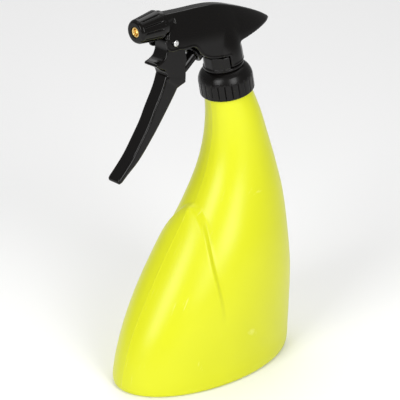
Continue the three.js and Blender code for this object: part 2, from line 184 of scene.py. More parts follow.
def makeLime():
    paint, shader, wire = newPaint("lime_polyethylene")
    place = objectPlace(wire)
    cloud = band(wire, noise(wire, place, limeLook["cloud"], 2), 0.3, 0.7)
    flow = noise(wire, objectPlace(wire, (260, 260, 9)), 1, 3)     # faint streaks up the wall
    peel = noise(wire, place, limeLook["orangePeel"], 2)
    streaks = noise(wire, objectPlace(wire, (60, 900, 60), (0.2, 0.1, 0.5)), 1, 4)
    scuff = band(wire, streaks, 0.66, 0.74) * band(wire, noise(wire, place, 40, 2), 0.5, 0.62)
    colour = blendColours(wire, cloud * 0.55, limeLook["colour"], limeLook["deepColour"])
    colour = blendColours(wire, 1 - scuff * 0.35, (0.86, 0.88, 0.30), colour)
    height = peel * 0.5 + flow * 0.35 + scuff * -0.5
    feed(shader, {
        "Base Color": colour,
        "Roughness": limeLook["roughness"] + cloud * 0.06 + peel * 0.04 + scuff * 0.25,
        "Normal": bumped(wire, height, 0.10, 0.5),
        "Subsurface Weight": 0.12,
        "Subsurface Radius": (0.004, 0.004, 0.0008),
        "Specular IOR Level": 0.35,
    })
    return paint


blackLook = {
    "colour": (0.0036, 0.0031, 0.0028),
    "dustColour": (0.075, 0.07, 0.062),
    "roughness": 0.10,
    "grain": 1500,
    "scratches": 420,
}


def makeBlack(name, roughness, dustShare):
    paint, shader, wire = newPaint(name)
    place = objectPlace(wire)
    cloud = noise(wire, place, 55, 3)
    grain = noise(wire, place, blackLook["grain"], 2)
    along = noise(wire, objectPlace(wire, (90, 1500, 90), (0.3, 0.9, 0.2)), 1, 3)
    across = noise(wire, objectPlace(wire, (1500, 90, 120), (0.7, 0.1, 1.1)), 1, 3)
    scratch = band(wire, along, 0.68, 0.75) * band(wire, across, 0.35, 0.6)
    speck = band(wire, noise(wire, place, 700, 1), 0.76, 0.80) * band(wire, cloud, 0.48, 0.6)
    dust = speck * dustShare
    feed(shader, {
        "Base Color": blendColours(wire, dust, blackLook["colour"], blackLook["dustColour"]),
        "Roughness": roughness + cloud * 0.07 + scratch * 0.16 + dust * 0.3,
        "Normal": bumped(wire, cloud * 0.6 + grain * 0.12 - scratch * 0.4, 0.10, 0.25),
        "Specular IOR Level": 0.22,
    })
    return paint


def makeMetal(name, colour, dullColour, roughness, axis):
    # turned metal: fine rings round the axis, a little tarnish in patches
    paint, shader, wire = newPaint(name)
    place = objectPlace(wire)
    tarnish = band(wire, noise(wire, place, 420, 4), 0.45, 0.75)
    rings = noise(wire, objectPlace(wire, tuple(6000 if i == axis else 40 for i in range(3))), 1, 2)
    feed(shader, {
        "Base Color": blendColours(wire, tarnish * 0.6, colour, dullColour),
        "Roughness": roughness + rings * 0.12 + tarnish * 0.16,
        "Normal": bumped(wire, rings, 0.25, 0.05),
        "Metallic": 1.0,
    })
    return paint


def makeNatural():
    paint, shader, wire = newPaint("natural_polyethylene")
    place = objectPlace(wire)
    cloud = noise(wire, place, 120, 3)
    feed(shader, {
        "Base Color": blendColours(wire, cloud, (0.80, 0.80, 0.75), (0.68, 0.69, 0.64)),
        "Roughness": 0.36 + cloud * 0.12,
        "Normal": bumped(wire, cloud + noise(wire, place, 1400, 2) * 0.2, 0.12, 0.2),
        "Subsurface Weight": 0.25,
        "Subsurface Radius": (0.003, 0.003, 0.0025),
    })
    return paint


def makeRubber():
    paint, shader, wire = newPaint("black_rubber")
    place = objectPlace(wire)
    bloom = noise(wire, place, 300, 4)
    feed(shader, {
        "Base Color": blendColours(wire, bloom * 0.5, (0.014, 0.014, 0.014), (0.05, 0.05, 0.048)),
        "Roughness": 0.66 + bloom * 0.2,
        "Normal": bumped(wire, noise(wire, place, 2600, 3), 0.3, 0.1),
    })
    return paint


limePaint = makeLime()
glossPaint = makeBlack("gloss_black", blackLook["roughness"], 0.5)
satinPaint = makeBlack("satin_black", 0.24, 0.25)
brassPaint = makeMetal("turned_brass", (0.80, 0.56, 0.20), (0.42, 0.27, 0.09), 0.20, 0)
steelPaint = makeMetal("bright_steel", (0.72, 0.72, 0.71), (0.5, 0.5, 0.5), 0.18, 1)
naturalPaint = makeNatural()
rubberPaint = makeRubber()
slotPaints = {
    "bottle_plastic": limePaint,
    "black_plastic": glossPaint,
    "brass": brassPaint,
    "steel": steelPaint,
    "natural_plastic": naturalPaint,
    "rubber": rubberPaint,
}
print("finishes made:", len(slotPaints) + 1)


def signedVolume(points, faces):
    fans = np.array([(f[0], f[i], f[i + 1]) for f in faces for i in range(1, len(f) - 1)])
    a, b, c = (points[fans[:, k]] for k in range(3))
    return float(np.einsum("ij,ij->i", a, np.cross(b, c)).sum())


def newMesh(name, points, faces):
    # faces all run the same way round; a negative volume says that they point inwards
    points = np.asarray(points, float)
    if signedVolume(points, faces) < 0:
        faces = [tuple(reversed(f)) for f in faces]
    mesh = bpy.data.meshes.new(name)
    mesh.from_pydata(points.tolist(), [], faces)
    mesh.update()
    return mesh


def finishPiece(name, mesh, place, node, paint=None, sharpDegrees=38):
    # gives a mesh its place, finish, body and slot, and lets it stand for its CAD node
    mesh.transform(place)
    mesh.name = name
    slot = next(s["material_slot"] for s in frame["record"]["subparts"] if s["node"] == node)
    mesh.materials.clear()
    mesh.materials.append(paint or slotPaints[slot])
    mesh.shade_smooth()
    mesh.set_sharp_from_angle(angle=math.radians(sharpDegrees))
    piece = bpy.data.objects.new(name, mesh)
    bpy.context.scene.collection.objects.link(piece)
    body = frame["nodes"][node]["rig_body"]
    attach(piece, body)
    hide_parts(node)
    return piece


def joinedMesh(meshes):
    points, faces = [], []
    for mesh in meshes:
        start = len(points)
        points += [tuple(v.co) for v in mesh.vertices]
        faces += [tuple(start + i for i in p.vertices) for p in mesh.polygons]
    joined = bpy.data.meshes.new("joined")
    joined.from_pydata(points, [], faces)
    return joined


def smoothCurve(points, samples):
    # a centripetal Catmull-Rom curve through the points, with samples steps for each span
    points = [np.array(p, float) for p in points]
    ends = [2 * points[0] - points[1], *points, 2 * points[-1] - points[-2]]
    curve = []
    for i in range(len(points) - 1):
        p0, p1, p2, p3 = ends[i:i + 4]
        knots = [0.0]
        for a, b in ((p0, p1), (p1, p2), (p2, p3)):
            knots.append(knots[-1] + max(np.linalg.norm(b - a), 1e-6) ** 0.5)
        t0, t1, t2, t3 = knots
        for step in range(samples if i < len(points) - 2 else samples + 1):
            t = t1 + (t2 - t1) * step / samples
            a1 = (t1 - t) / (t1 - t0) * p0 + (t - t0) / (t1 - t0) * p1
            a2 = (t2 - t) / (t2 - t1) * p1 + (t - t1) / (t2 - t1) * p2
            a3 = (t3 - t) / (t3 - t2) * p2 + (t - t2) / (t3 - t2) * p3
            b1 = (t2 - t) / (t2 - t0) * a1 + (t - t0) / (t2 - t0) * a2
            b2 = (t3 - t) / (t3 - t1) * a2 + (t - t1) / (t3 - t1) * a3
            curve.append((t2 - t) / (t2 - t1) * b1 + (t - t1) / (t2 - t1) * b2)
    return np.array(curve)


def between(table, value):
    return np.interp(value, *np.asarray(table).T)


def smoothTable(table):
    return smoothCurve(table, 8)


def easeStep(value):
    value = np.clip(value, 0, 1)
    return value * value * (3 - 2 * value)


bottleShape = {
    # front x, front z, back x, back z, half width
    "stations": [
        (-72.2, 0, 72.4, 0, 41), (-74.6, 1.3, 74.9, 1.3, 43.3), (-75.2, 5, 76.4, 5, 43.8),
        (-72.6, 16, 77.4, 16, 42.8), (-65.5, 34, 78.18, 34, 42), (-48.5, 62, 77.98, 62, 40.4),
        (-29, 92, 74.4, 92, 36.8), (-10, 119, 69.8, 121, 31), (2, 141, 63, 145, 26),
        (8, 160, 55.8, 166, 22.4), (9.9, 177, 49, 185, 19.8), (9.2, 189, 43.6, 197, 17.8),
        (7.8, 197.3, 40.2, 204, 16.5),
    ],
    # how far round from the front the belly's arch stands at each height, in degrees
    "archFoot": [
        (0, 82), (25, 79), (47, 73.4), (53.8, 69.6), (65, 63.8), (80.3, 54.6), (92.3, 46.4),
        (105.1, 36.4), (112.7, 28.9), (117.9, 22.4), (122.0, 14), (123.7, 7), (124.3, 0),
    ],
    "archRim": [
        (0, 78), (25, 74), (44, 68.6), (58, 63), (70.3, 56.7), (83.6, 48), (93.5, 41.2),
        (106.6, 29.1), (115.1, 16.7), (119.4, 9), (121.3, 4.4), (121.9, 0),
    ],
    # the step's height at the arch, and how far the belly stands out on its seam
    "stepHeight": [(0, 0), (40, 0), (52, 0.7), (66, 1.5), (85, 2.2), (105, 2.9), (118, 3.6), (126, 4.2)],
    "seamHeight": [
        (0, 0), (7, 0), (16, 0.8), (31, 1.8), (45, 3.3), (60, 4.6), (92, 4.8), (110, 5.0), (122, 5.0),
    ],
    "partingLine": 0.22,
    "trimLength": 0.25,     # room left for the parting line at front and back
    "trimWidth": 0.1,
    "wall": 1.6,
    "pushUp": 2.0,
    # how far in from the foot the base rises, and the share of its rise there
    "baseRows": [(0.30, 1), (0.55, 1), (0.74, 0.92), (0.82, 0.6), (0.87, 0.22), (0.91, 0.03), (0.96, 0)],
    "baseGirth": 60,
    "rowsPerSpan": [6, 6, 12, 18, 26, 30, 34, 28, 22, 18, 14, 10],
    "innerRowStep": 6,
    "innerFrom": 12,        # the station row where the inside begins
    "leastArch": 13,        # degrees
    "archEnd": 82,
}
neckShape = {"radius": 13.3, "bore": 11.0, "mouth": 12.0, "shoulder": 16.5}
seamColumns = (0, 0.3, 0.6, 1.0, 1.8)       # millimetres from the parting line
girthShare = 0.45
spanSamples = 40

archFoot = smoothTable(bottleShape["archFoot"])
archRim = smoothTable(bottleShape["archRim"])
archFootByAngle = [(angle, height) for height, angle in reversed(archFoot)]
archRimByAngle = [(angle, height) for height, angle in reversed(archRim)]
seamHeight = smoothTable(bottleShape["seamHeight"])


def columnAngles(height, girth):
    # columns follow the arch, so that its edges run along the mesh
    rim = math.radians(max(bottleShape["leastArch"], float(between(archRim, height))))
    foot = max(math.radians(float(between(archFoot, height))), rim + math.radians(4))
    seam = [s / girth for s in seamColumns]
    belly = np.linspace(seam[-1], rim, 20)[1:]
    step = np.linspace(rim, foot, 9)[1:]
    rest = np.linspace(foot, math.pi - seam[-1], 42)[1:]
    back = [math.pi - s for s in reversed(seam[:-1])]
    half = [*seam, *belly, *step, *rest, *back]
    return half + [-a for a in reversed(half[1:-1])]


def bellyLift(angle, height):
    # how far the belly stands out here: a step at the arch, more on the seam
    degrees = abs(math.degrees(angle))
    footHeight = between(archFootByAngle, degrees)
    rimHeight = between(archRimByAngle, degrees)
    if degrees > bottleShape["archEnd"] or height >= footHeight:
        return 0.0
    inside = float(easeStep((footHeight - height) / max(footHeight - rimHeight, 0.5)))
    edge = between(bottleShape["stepHeight"], height)
    middle = between(seamHeight, height)
    across = min(1.0, degrees / max(float(between(archRim, height)), 6.0))
    return inside * float(edge + max(0.0, middle - edge) * (1 - across ** 2) ** 1.3)


def stationAngles(station):
    return columnAngles(station[1], (station[2] - station[0]) * girthShare)


def ringAt(station, angles, inset=0.0, dress=True):
    # one row of the bottle, with its belly and parting line where it is dressed
    shape = bottleShape
    front = np.array((station[0], 0, station[1]))
    back = np.array((station[2], 0, station[3]))
    centre = (front + back) / 2
    arm = np.linalg.norm(back - centre)
    along = (back - centre) / arm
    arm -= inset + shape["trimLength"]
    halfWidth = station[4] - inset - shape["trimWidth"]
    ring = []
    for angle in angles:
        point = centre - along * arm * math.cos(angle)
        point[1] = halfWidth * math.sin(angle)
        if dress:
            out = -along * math.cos(angle) / arm
            out[1] = math.sin(angle) / halfWidth
            out /= np.linalg.norm(out)
            fromSeam = abs(math.sin(angle)) * (arm if abs(angle) < 0.2 or abs(angle) > 2.9 else 99)
            ridge = shape["partingLine"] * (1 - float(easeStep(fromSeam)))
            point = point + out * (bellyLift(angle, point[2]) + ridge * float(easeStep(point[2] / 6)))
        ring.append(point)
    return ring


def makeBottle():
    shape, neck = bottleShape, neckShape
    fine = smoothCurve(shape["stations"], spanSamples)
    stations = []
    for i, count in enumerate(shape["rowsPerSpan"]):
        picks = np.linspace(i * spanSamples, (i + 1) * spanSamples, count + 1)[:-1]
        stations += [fine[int(round(p))] for p in picks]
    stations.append(fine[-1])
    baseAngles = columnAngles(0.0, shape["baseGirth"])
    foot = ringAt(stations[0], baseAngles, 0, False)
    rows = [[np.array((p[0] * scale, p[1] * scale, shape["pushUp"] * rise)) for p in foot]
            for scale, rise in shape["baseRows"]]
    rows += [ringAt(station, stationAngles(station)) for station in stations]
    # the neck stands on the head's axis, and its inside runs back down to the wall's
    radius, bore, mouth = neck["radius"], neck["bore"], neck["mouth"]
    profile = [
        (neck["shoulder"] - 0.25, 0.35), (radius + 2.2, 0.8), (radius + 1.1, 1.25), (radius + 0.35, 2.0),
        (radius, 3.0), (radius, 7), (radius, 11.3), (radius - 0.2, 11.8), (radius - 0.6, mouth),
        (bore + 0.6, mouth), (bore + 0.15, 11.8), (bore, 11.3), (bore, 4), (bore, -1.2), (bore + 1.2, -2.6),
    ]
    toStand = standFrame.inverted() @ headFrame
    lastAngles = stationAngles(stations[-1])
    for r, height in profile:
        rows.append([np.array(toStand @ Vector((-r * math.cos(a), r * math.sin(a), height)))
                     for a in lastAngles])
    for station in stations[shape["innerFrom"]:-3][::-1][::shape["innerRowStep"]]:
        rows.append(ringAt(station, stationAngles(station), shape["wall"], False))
    floorHeight = shape["pushUp"] + shape["wall"]
    inside = ringAt(stations[shape["innerFrom"]], baseAngles, shape["wall"], False)
    for scale, rise in ((0.93, 1.4), (0.8, 0), (0.55, 0), (0.3, 0)):
        rows.append([np.array((p[0] * scale, p[1] * scale, floorHeight + rise)) for p in inside])
    count = len(rows[0])
    points = [p for row in rows for p in row]
    faces = []
    for i in range(len(rows) - 1):
        for j in range(count):
            k = (j + 1) % count
            faces.append((i * count + j, i * count + k, (i + 1) * count + k, (i + 1) * count + j))
    for start, forward in ((0, True), ((len(rows) - 1) * count, False)):
        points.append(np.mean(points[start:start + count], axis=0))
        pole = len(points) - 1
        for j in range(count):
            a, b = start + j, start + (j + 1) % count
            faces.append((pole, b, a) if forward else (pole, a, b))
    return newMesh("bottle_wall", points, faces)


# turned pieces

def softened(outline, radius, closed=True):
    # rounds each corner; a third number is that corner's own radius
    rounded = []
    count = len(outline)
    for i, corner in enumerate(outline):
        here = np.array(corner[:2], float)
        if not closed and i in (0, count - 1):
            rounded.append(here)
            continue
        before = np.array(outline[i - 1][:2], float) - here
        after = np.array(outline[(i + 1) % count][:2], float) - here
        want = corner[2] if len(corner) > 2 else radius
        cut = min(want, 0.45 * np.linalg.norm(before), 0.45 * np.linalg.norm(after))
        if cut < 0.02:
            rounded.append(here)
            continue
        start = here + before / np.linalg.norm(before) * cut
        end = here + after / np.linalg.norm(after) * cut
        for t in (0, 0.25, 0.5, 0.75, 1):
            rounded.append((1 - t) ** 2 * start + 2 * t * (1 - t) * here + t * t * end)
    return rounded


def turnedMesh(profile, radius=0.25, segments=72):
    onAxis = profile[0][0] == 0 and profile[-1][0] == 0
    outline = softened(profile, radius, not onAxis)
    points, rings = [], []
    for r, z in outline:
        if r < 1e-6:
            rings.append([len(points)])
            points.append((0, 0, z))
            continue
        rings.append(list(range(len(points), len(points) + segments)))
        for i in range(segments):
            angle = 2 * math.pi * i / segments
            points.append((r * math.cos(angle), r * math.sin(angle), z))
    faces = []
    pairs = list(zip(rings, rings[1:])) + ([] if onAxis else [(rings[-1], rings[0])])
    for a, b in pairs:
        for i in range(segments):
            k = (i + 1) % segments
            corners = [a[i % len(a)], a[k % len(a)], b[k % len(b)], b[i % len(b)]]
            face = tuple(dict.fromkeys(corners))
            if len(face) > 2:
                faces.append(face)
    return newMesh("turned", points, faces)


def ringProfile(centre, section, height, sides=16):
    return [(centre + section * math.cos(2 * math.pi * i / sides),
             height + section * math.sin(2 * math.pi * i / sides)) for i in range(sides)]


def ballProfile(radius, centre):
    return [(0, centre - radius),
            *[(radius * math.sin(a), centre - radius * math.cos(a), 0) for a in np.linspace(0.15, 2.99, 20)],
            (0, centre + radius)]


# moulded pieces, each a field of distances to its skin

def roundAnd(a, b, radius):
    reach = np.hypot(np.maximum(radius + a, 0), np.maximum(radius + b, 0))
    return np.minimum(-radius, np.maximum(a, b)) + reach


def roundOr(a, b, radius):
    return -roundAnd(-a, -b, radius)


def outlineField(outline, x, z):
    # signed distance to a closed outline, on flat grids of x and z
    outline = np.asarray(outline, float)
    best = np.full(x.shape, 1e9)
    inside = np.zeros(x.shape, bool)
    for a, b in zip(outline, np.roll(outline, -1, axis=0)):
        edge = b - a
        length = float(edge @ edge)
        if length < 1e-9:
            continue
        px, pz = x - a[0], z - a[1]
        t = np.clip((px * edge[0] + pz * edge[1]) / length, 0, 1)
        best = np.minimum(best, np.hypot(px - t * edge[0], pz - t * edge[1]))
        crosses = (a[1] > z) != (b[1] > z)
        side = px * edge[1] - pz * edge[0]
        inside ^= crosses & ((side < 0) == (edge[1] > 0))
    return np.where(inside, -best, best)


def mouldedMesh(low, high, cell, field):
    axes = [np.arange(low[i] - 2.5 * cell, high[i] + 3 * cell, cell) for i in range(3)]
    x, y, z = np.meshgrid(*axes, indexing="ij")
    values = field(x, y, z)
    grid = vdb.FloatGrid(3.0)
    grid.copyFromArray(np.ascontiguousarray(np.clip(values, -3, 3), dtype=np.float32))
    points, quads = grid.convertToQuads(0.0)
    points = points * cell + np.array([axis[0] for axis in axes])
    return newMesh("moulded", points, [tuple(int(i) for i in q) for q in quads])


def cylinderField(x, y, z, radius, low, high, edge=0.4):
    return roundAnd(np.hypot(x, y) - radius, np.abs(z - (low + high) / 2) - (high - low) / 2, edge)


def inFrame(x, y, z, place):
    # head millimetres to those of another frame
    turn = np.array((place.inverted() @ headFrame).to_4x4())
    return (turn[0, 0] * x + turn[0, 1] * y + turn[0, 2] * z + turn[0, 3],
            turn[1, 0] * x + turn[1, 1] * y + turn[1, 2] * z + turn[1, 3],
            turn[2, 0] * x + turn[2, 1] * y + turn[2, 2] * z + turn[2, 3])


def flatField(outline, x, z):
    # the outline's field worked out once on the x-z plane and repeated across y
    flat = outlineField(outline, x[:, 0, :], z[:, 0, :])
    return np.repeat(flat[:, None, :], x.shape[1], axis=1)


pin = {"x": -45.8, "z": 58.4, "radius": 1.5, "hole": 1.8}

hoodShape = {
    # along the hood: x, top z, half width of the flat top, half width of the sides
    "stations": [
        (-51.9, 79.4, 4.8, 9.6), (-41, 76.7, 4.3, 10.2), (-28, 73.5, 4, 10.6), (-15, 70.5, 4, 10.9),
        (-4, 67.3, 4, 11), (6, 63.1, 3.8, 11), (16, 57.7, 3.4, 10.4), (26, 51.7, 2.8, 9),
        (34, 46.4, 2.2, 7), (40.5, 41.6, 1.5, 4.5), (45.4, 37.4, 0.8, 1.4),
    ],
    "tailEnd": 45.4,
    "front": -52.6,
    "earFront": -52.9,
    "shoulder": 26,         # how far down the sides go on widening
    "crease": 1.1,
    "wall": 1.8,
    "columnX": 0.8,
    "columnRadius": 13.9,
    "domeFrom": 27,
    "domeHeight": 28,
    "tailEdge": 35.6,       # the tail is open below this height
    "tailFrom": 6,
    "ear": {"x": -47.2, "z": 59.4, "radius": 6.6},
    "swoop": [
        (-43.5, 52.2), (-38.6, 50.5), (-33.6, 49.6), (-30.6, 48.5), (-28.2, 45.8), (-25.9, 41.4),
        (-22.8, 37.6), (-18.7, 34.8), (-13.5, 32.5), (-8, 31.0), (-3.5, 30.4),
    ],
    "skirt": [(-3.5, 22), (20, 22), (20, 30), (60, 30), (60, 90)],
    "bead": {"from": 0.9, "rise": 0.3},
    "stepDepth": 0.8,
    "capRoom": 9.35,
    "frontStep": [(-50, 62.5), (-48.3, 66.5), (-40.4, 69.9), (-39.5, 76), (-60, 84), (-60, 62.5)],
    "cell": 0.5,
}


def hoodField(x, y, z, inset):
    shape = hoodShape
    table = smoothCurve(shape["stations"], 8)
    topHeight = np.interp(x, table[:, 0], table[:, 1]) - inset
    crown = np.maximum(0.3, np.interp(x, table[:, 0], table[:, 2]) - inset * 0.5)
    side = np.maximum(0.5, np.interp(x, table[:, 0], table[:, 3]) - inset)
    reach = np.clip((topHeight - shape["tailEdge"]) * 1.05, 0.6, shape["shoulder"])
    depth = np.clip((topHeight - z) / reach, 0, 1)
    width = crown + (side - crown) * depth * (2 - depth)
    slope = 2 * (1 - depth) * (side - crown) / reach
    sides = (np.abs(y) - width) / np.hypot(1, slope)
    top = (z - topHeight) * 0.93
    behind = np.minimum(x - shape["tailFrom"], shape["tailEdge"] - inset * 0.2 - z)
    ends = np.maximum(np.maximum(x - shape["tailEnd"], shape["front"] - x), behind)
    return np.maximum(roundAnd(sides, top, shape["crease"]), ends)


def columnField(x, y, z, inset):
    shape = hoodShape
    radius = shape["columnRadius"] - inset
    dome = shape["domeHeight"] - inset
    around = np.hypot(x - shape["columnX"], y)
    above = np.maximum(z - shape["domeFrom"], 0)
    share = np.hypot(around / radius, above / dome)
    return (share - 1) * np.where(above > 0, dome, radius)


def lowerEdge():
    ear = hoodShape["ear"]
    arc = [(ear["x"] + ear["radius"] * math.cos(a), ear["z"] + ear["radius"] * math.sin(a))
           for a in np.radians(np.linspace(180, 262, 10))]
    return [(-54.5, 90), *arc, *smoothCurve(hoodShape["swoop"], 4), *hoodShape["skirt"]]


def pinHole(x, z):
    return np.hypot(x - pin["x"], z - pin["z"]) - pin["hole"]


def shroudField(x, y, z):
    shape = hoodShape
    wall, bead = shape["wall"], shape["bead"]
    outer = roundOr(hoodField(x, y, z, 0), columnField(x, y, z, 0), 2.6)
    inner = roundOr(hoodField(x, y, z, wall), columnField(x, y, z, wall), 2.0)
    edge = flatField(lowerEdge(), x, z)
    rim = easeStep(1 - np.abs(edge + bead["from"]) / bead["from"])      # a bead along the lower edge
    ahead = flatField(shape["frontStep"], x, z)
    lowered = easeStep(-ahead / 0.9 + 0.5) * easeStep((75 - z) / 4)     # the front is set in a little
    outer = outer - bead["rise"] * rim + shape["stepDepth"] * lowered
    body = roundAnd(roundAnd(outer, -inner, 0.35), edge, 0.45)
    lean = math.radians(8.1)
    body = roundAnd(body, z * math.sin(lean) - x * math.cos(lean) - 60.55, 0.7)
    body = roundAnd(body, shape["earFront"] - x - np.maximum(z - 62, 0), 0.6)
    # room for the cap's back end, for the trigger between the ears, and for the pin
    body = roundAnd(body, -cylinderField(*inFrame(x, y, z, nozzleFrame), shape["capRoom"], -4, 4), 0.3)
    room = np.maximum(np.maximum(np.abs(y) - 7.5, z - 76), np.maximum(x + 49.2, 40 - z))
    body = np.maximum(body, -room)
    return roundAnd(body, -pinHole(x, z), 0.2)


triggerShape = {
    "leverFront": [(-54.8, 36.5), (-59.6, 29.2), (-69.4, 18), (-75.5, 10.6), (-84.3, 2.1), (-93.4, -6.1),
                   (-102.1, -12.2), (-108, -15.9)],
    "tip": [(-109.3, -17.1), (-109.4, -18.6), (-108.6, -19.7)],
    "leverBack": [(-106.4, -19.6), (-100.6, -16.6), (-89.9, -11.4), (-76.3, -1.7), (-66.7, 6.1),
                  (-51.8, 19.2), (-46.3, 24.6), (-42, 30)],
    "rest": [(-61, 45.8), (-58.6, 43.9), (-54.6, 40.6), (-53.6, 36.6)],
    "neckFront": [(-50.4, 58.4), (-50.8, 54), (-53.6, 49.9), (-58, 48.3), (-61, 48)],
    "neckBack": [(-46.6, 24.9), (-40, 25.6), (-38.6, 31), (-37.6, 37), (-34.4, 43.5), (-32.6, 48.5),
                 (-36, 53), (-41.2, 58.4)],
    "hubRadius": 4.6,
    "hollow": [(-98, -18), (-90, -11.6), (-76.5, -1.9), (-66.9, 5.9), (-54, 17), (-50, 17), (-60, 0),
               (-90, -26)],
    "hollowDepth": 2.2,
    "leverHalf": 5.8,
    "hubHalf": 6.6,
    "hollowHalf": 3.6,
    "cell": 0.45,
}


def triggerField(x, y, z):
    shape = triggerShape
    lever = [*smoothCurve(shape["leverFront"], 4), *shape["tip"], *smoothCurve(shape["leverBack"], 4)]
    hubArc = [(pin["x"] + shape["hubRadius"] * math.cos(a), pin["z"] + shape["hubRadius"] * math.sin(a))
              for a in np.linspace(0.2, 2.94, 12)]
    hub = [*smoothCurve(shape["neckFront"], 4), (-61.9, 46.9), *smoothCurve(shape["rest"], 4), (-54.6, 34),
           *shape["neckBack"], *hubArc]
    leverBody = roundAnd(flatField(lever, x, z), np.abs(y) - shape["leverHalf"], 1.5)
    hubBody = roundAnd(flatField(hub, x, z), np.abs(y) - shape["hubHalf"], 0.9)
    body = roundOr(leverBody, hubBody, 1.2)
    # a hollow back between two side webs
    hollow = flatField(shape["hollow"], x, z) - shape["hollowDepth"]
    body = roundAnd(body, -roundAnd(hollow, np.abs(y) - shape["hollowHalf"], 0.8), 0.5)
    # a pocket for the piston's round end
    px, py, pz = inFrame(x, y, z, pumpFrame)
    pocket = roundAnd(roundAnd(np.abs(px - 0.6) - 5.5, np.abs(py) - 4.7, 1.0), np.abs(pz - 0.5) - 10, 0.4)
    return roundAnd(roundAnd(body, -pinHole(x, z), 0.2), -pocket, 0.4)


pumpShape = {
    # radius, from, to, softness of its edge, and how softly it joins what came before
    "flange": (14.4, 14.1, 15.2, 0.3),
    "barrel": [(11.4, 15, 20, 0.3, 0.3), (14.1, 19.2, 21.3, 0.5, 0.2), (11.6, 20.5, 29.4, 0.6, 0.4)],
    "stem": [(8.6, 28, 36, 0.8, 1.0), (4.6, 35, 58.5, 0.3, 1.4)],
    "bores": [(7, 10, 20), (3, 19, 27), (1.6, 26, 50), (3, 49, 62)],
    "frontRadius": 13.7,
    "facet": 13.2,
    "facetAngles": [110, 145, 180, 215, 250],
    "spoutHeight": 56,
    "cylinder": (6.8, 6, 28.5, 0.6),
    "cylinderBore": (4.6, 3, 26.5),
    "cell": 0.45,
}


def pumpField(x, y, z):
    shape = pumpShape
    body = cylinderField(x, y, z, *shape["flange"])
    for *ring, blend in shape["barrel"]:
        body = roundOr(body, cylinderField(x, y, z, *ring), blend)
    # flats on the front of the barrel
    facets = np.max([x * math.cos(a) + y * math.sin(a) - shape["facet"]
                     for a in np.radians(shape["facetAngles"])], 0)
    front = roundAnd(np.hypot(x, y) - shape["frontRadius"], facets, 0.3)
    front = roundAnd(front, np.maximum(x + 4, np.maximum(21 - z, z - 30)), 0.6)
    body = roundOr(body, front, 0.3)
    for *ring, blend in shape["stem"]:
        body = roundOr(body, cylinderField(x, y, z, *ring), blend)
    across = np.hypot(y, z - shape["spoutHeight"])
    body = roundOr(body, roundAnd(across - 2.8, np.abs(x + 7) - 4, 0.2), 0.5)
    place = inFrame(x, y, z, pumpFrame)
    body = roundOr(body, cylinderField(*place, *shape["cylinder"]), 0.8)
    cuts = [cylinderField(x, y, z, *bore) for bore in shape["bores"]]
    cuts += [roundAnd(across - 2.05, np.abs(x + 6) - 6, 0.1), cylinderField(*place, *shape["cylinderBore"])]
    for cut in cuts:
        body = roundAnd(body, -cut, 0.25)
    return body


def strainerField(x, y, z):
    around = np.hypot(x, y)
    cup = roundAnd(around - 5, np.abs(z + 193) - 6, 0.5)
    cup = roundAnd(cup, around + z + 182, 0.4)
    cup = roundAnd(cup, -roundAnd(around - 3.1, -197.6 - z, 0.2), 0.2)
    for i in range(3):
        angle = math.radians(60 * i)
        wide = np.abs(y * math.cos(angle) - x * math.sin(angle)) - 0.6
        slot = roundAnd(roundAnd(wide, np.abs(z + 194.5) - 2.5, 0.3), 2.5 - around, 0.1)
        cup = roundAnd(cup, -slot, 0.15)
    return roundAnd(cup, 1 - around, 0.1)


# geometry nodes

def newTree(name, sizes):
    # a tree with a geometry in and out, and one number in for each named size
    tree = bpy.data.node_groups.new(name, "GeometryNodeTree")
    face = tree.interface
    face.new_socket("Geometry", in_out="OUTPUT", socket_type="NodeSocketGeometry")
    face.new_socket("Geometry", in_out="INPUT", socket_type="NodeSocketGeometry")
    face.new_socket("Finish", in_out="INPUT", socket_type="NodeSocketMaterial")
    for size in sizes:
        face.new_socket(size, in_out="INPUT", socket_type="NodeSocketFloat")
    start = tree.nodes.new("NodeGroupInput")
    inputs = {socket.name: Wire(tree, socket) for socket in start.outputs if socket.name}
    return tree, Wire(tree), inputs


def endTree(wire, inputs, geometry):
    real = wire.node("GeometryNodeRealizeInstances", None, {"Geometry": geometry})
    painted = wire.node("GeometryNodeSetMaterial", None, {"Geometry": real, "Material": inputs["Finish"]})
    end = wire.tree.nodes.new("NodeGroupOutput")
    wire.tree.links.new(painted.socket, end.inputs["Geometry"])


def makeGripTree():
    # sinks grooves into a turned piece, all round its axis, between two heights
    sizes = ["Count", "Depth", "Low", "High", "Fade", "Fill", "Least Radius"]
    tree, wire, size = newTree("grip_grooves", sizes)
    place = wire.node("GeometryNodeInputPosition")
    parts = wire.node("ShaderNodeSeparateXYZ", None, {0: place})
    x, y, z = (Wire(tree, s) for s in parts.socket.node.outputs)
    angle = wire.maths("ARCTAN2", y, x)
    wave = wire.maths("ABSOLUTE", wire.maths("SINE", angle * size["Count"] * 0.5, 0), 0)
    groove = 1 - band(wire, wave, 0.0, size["Fill"])
    rise = band(wire, z, size["Low"] - size["Fade"], size["Low"])
    fall = 1 - band(wire, z, size["High"], size["High"] + size["Fade"])
    radius = wire.maths("SQRT", x * x + y * y, 0)
    outside = wire.maths("GREATER_THAN", radius, size["Least Radius"])
    depth = groove * groove * (3 - 2 * groove) * rise * fall * outside * size["Depth"]
    shrink = wire.maths("DIVIDE", radius - depth, wire.maths("MAXIMUM", radius, 0.0001))
    moved = wire.node("ShaderNodeCombineXYZ", None, {0: x * shrink, 1: y * shrink, 2: z})
    shaped = wire.node("GeometryNodeSetPosition", None, {"Geometry": size["Geometry"], "Position": moved})
    endTree(wire, size, shaped)
    return tree


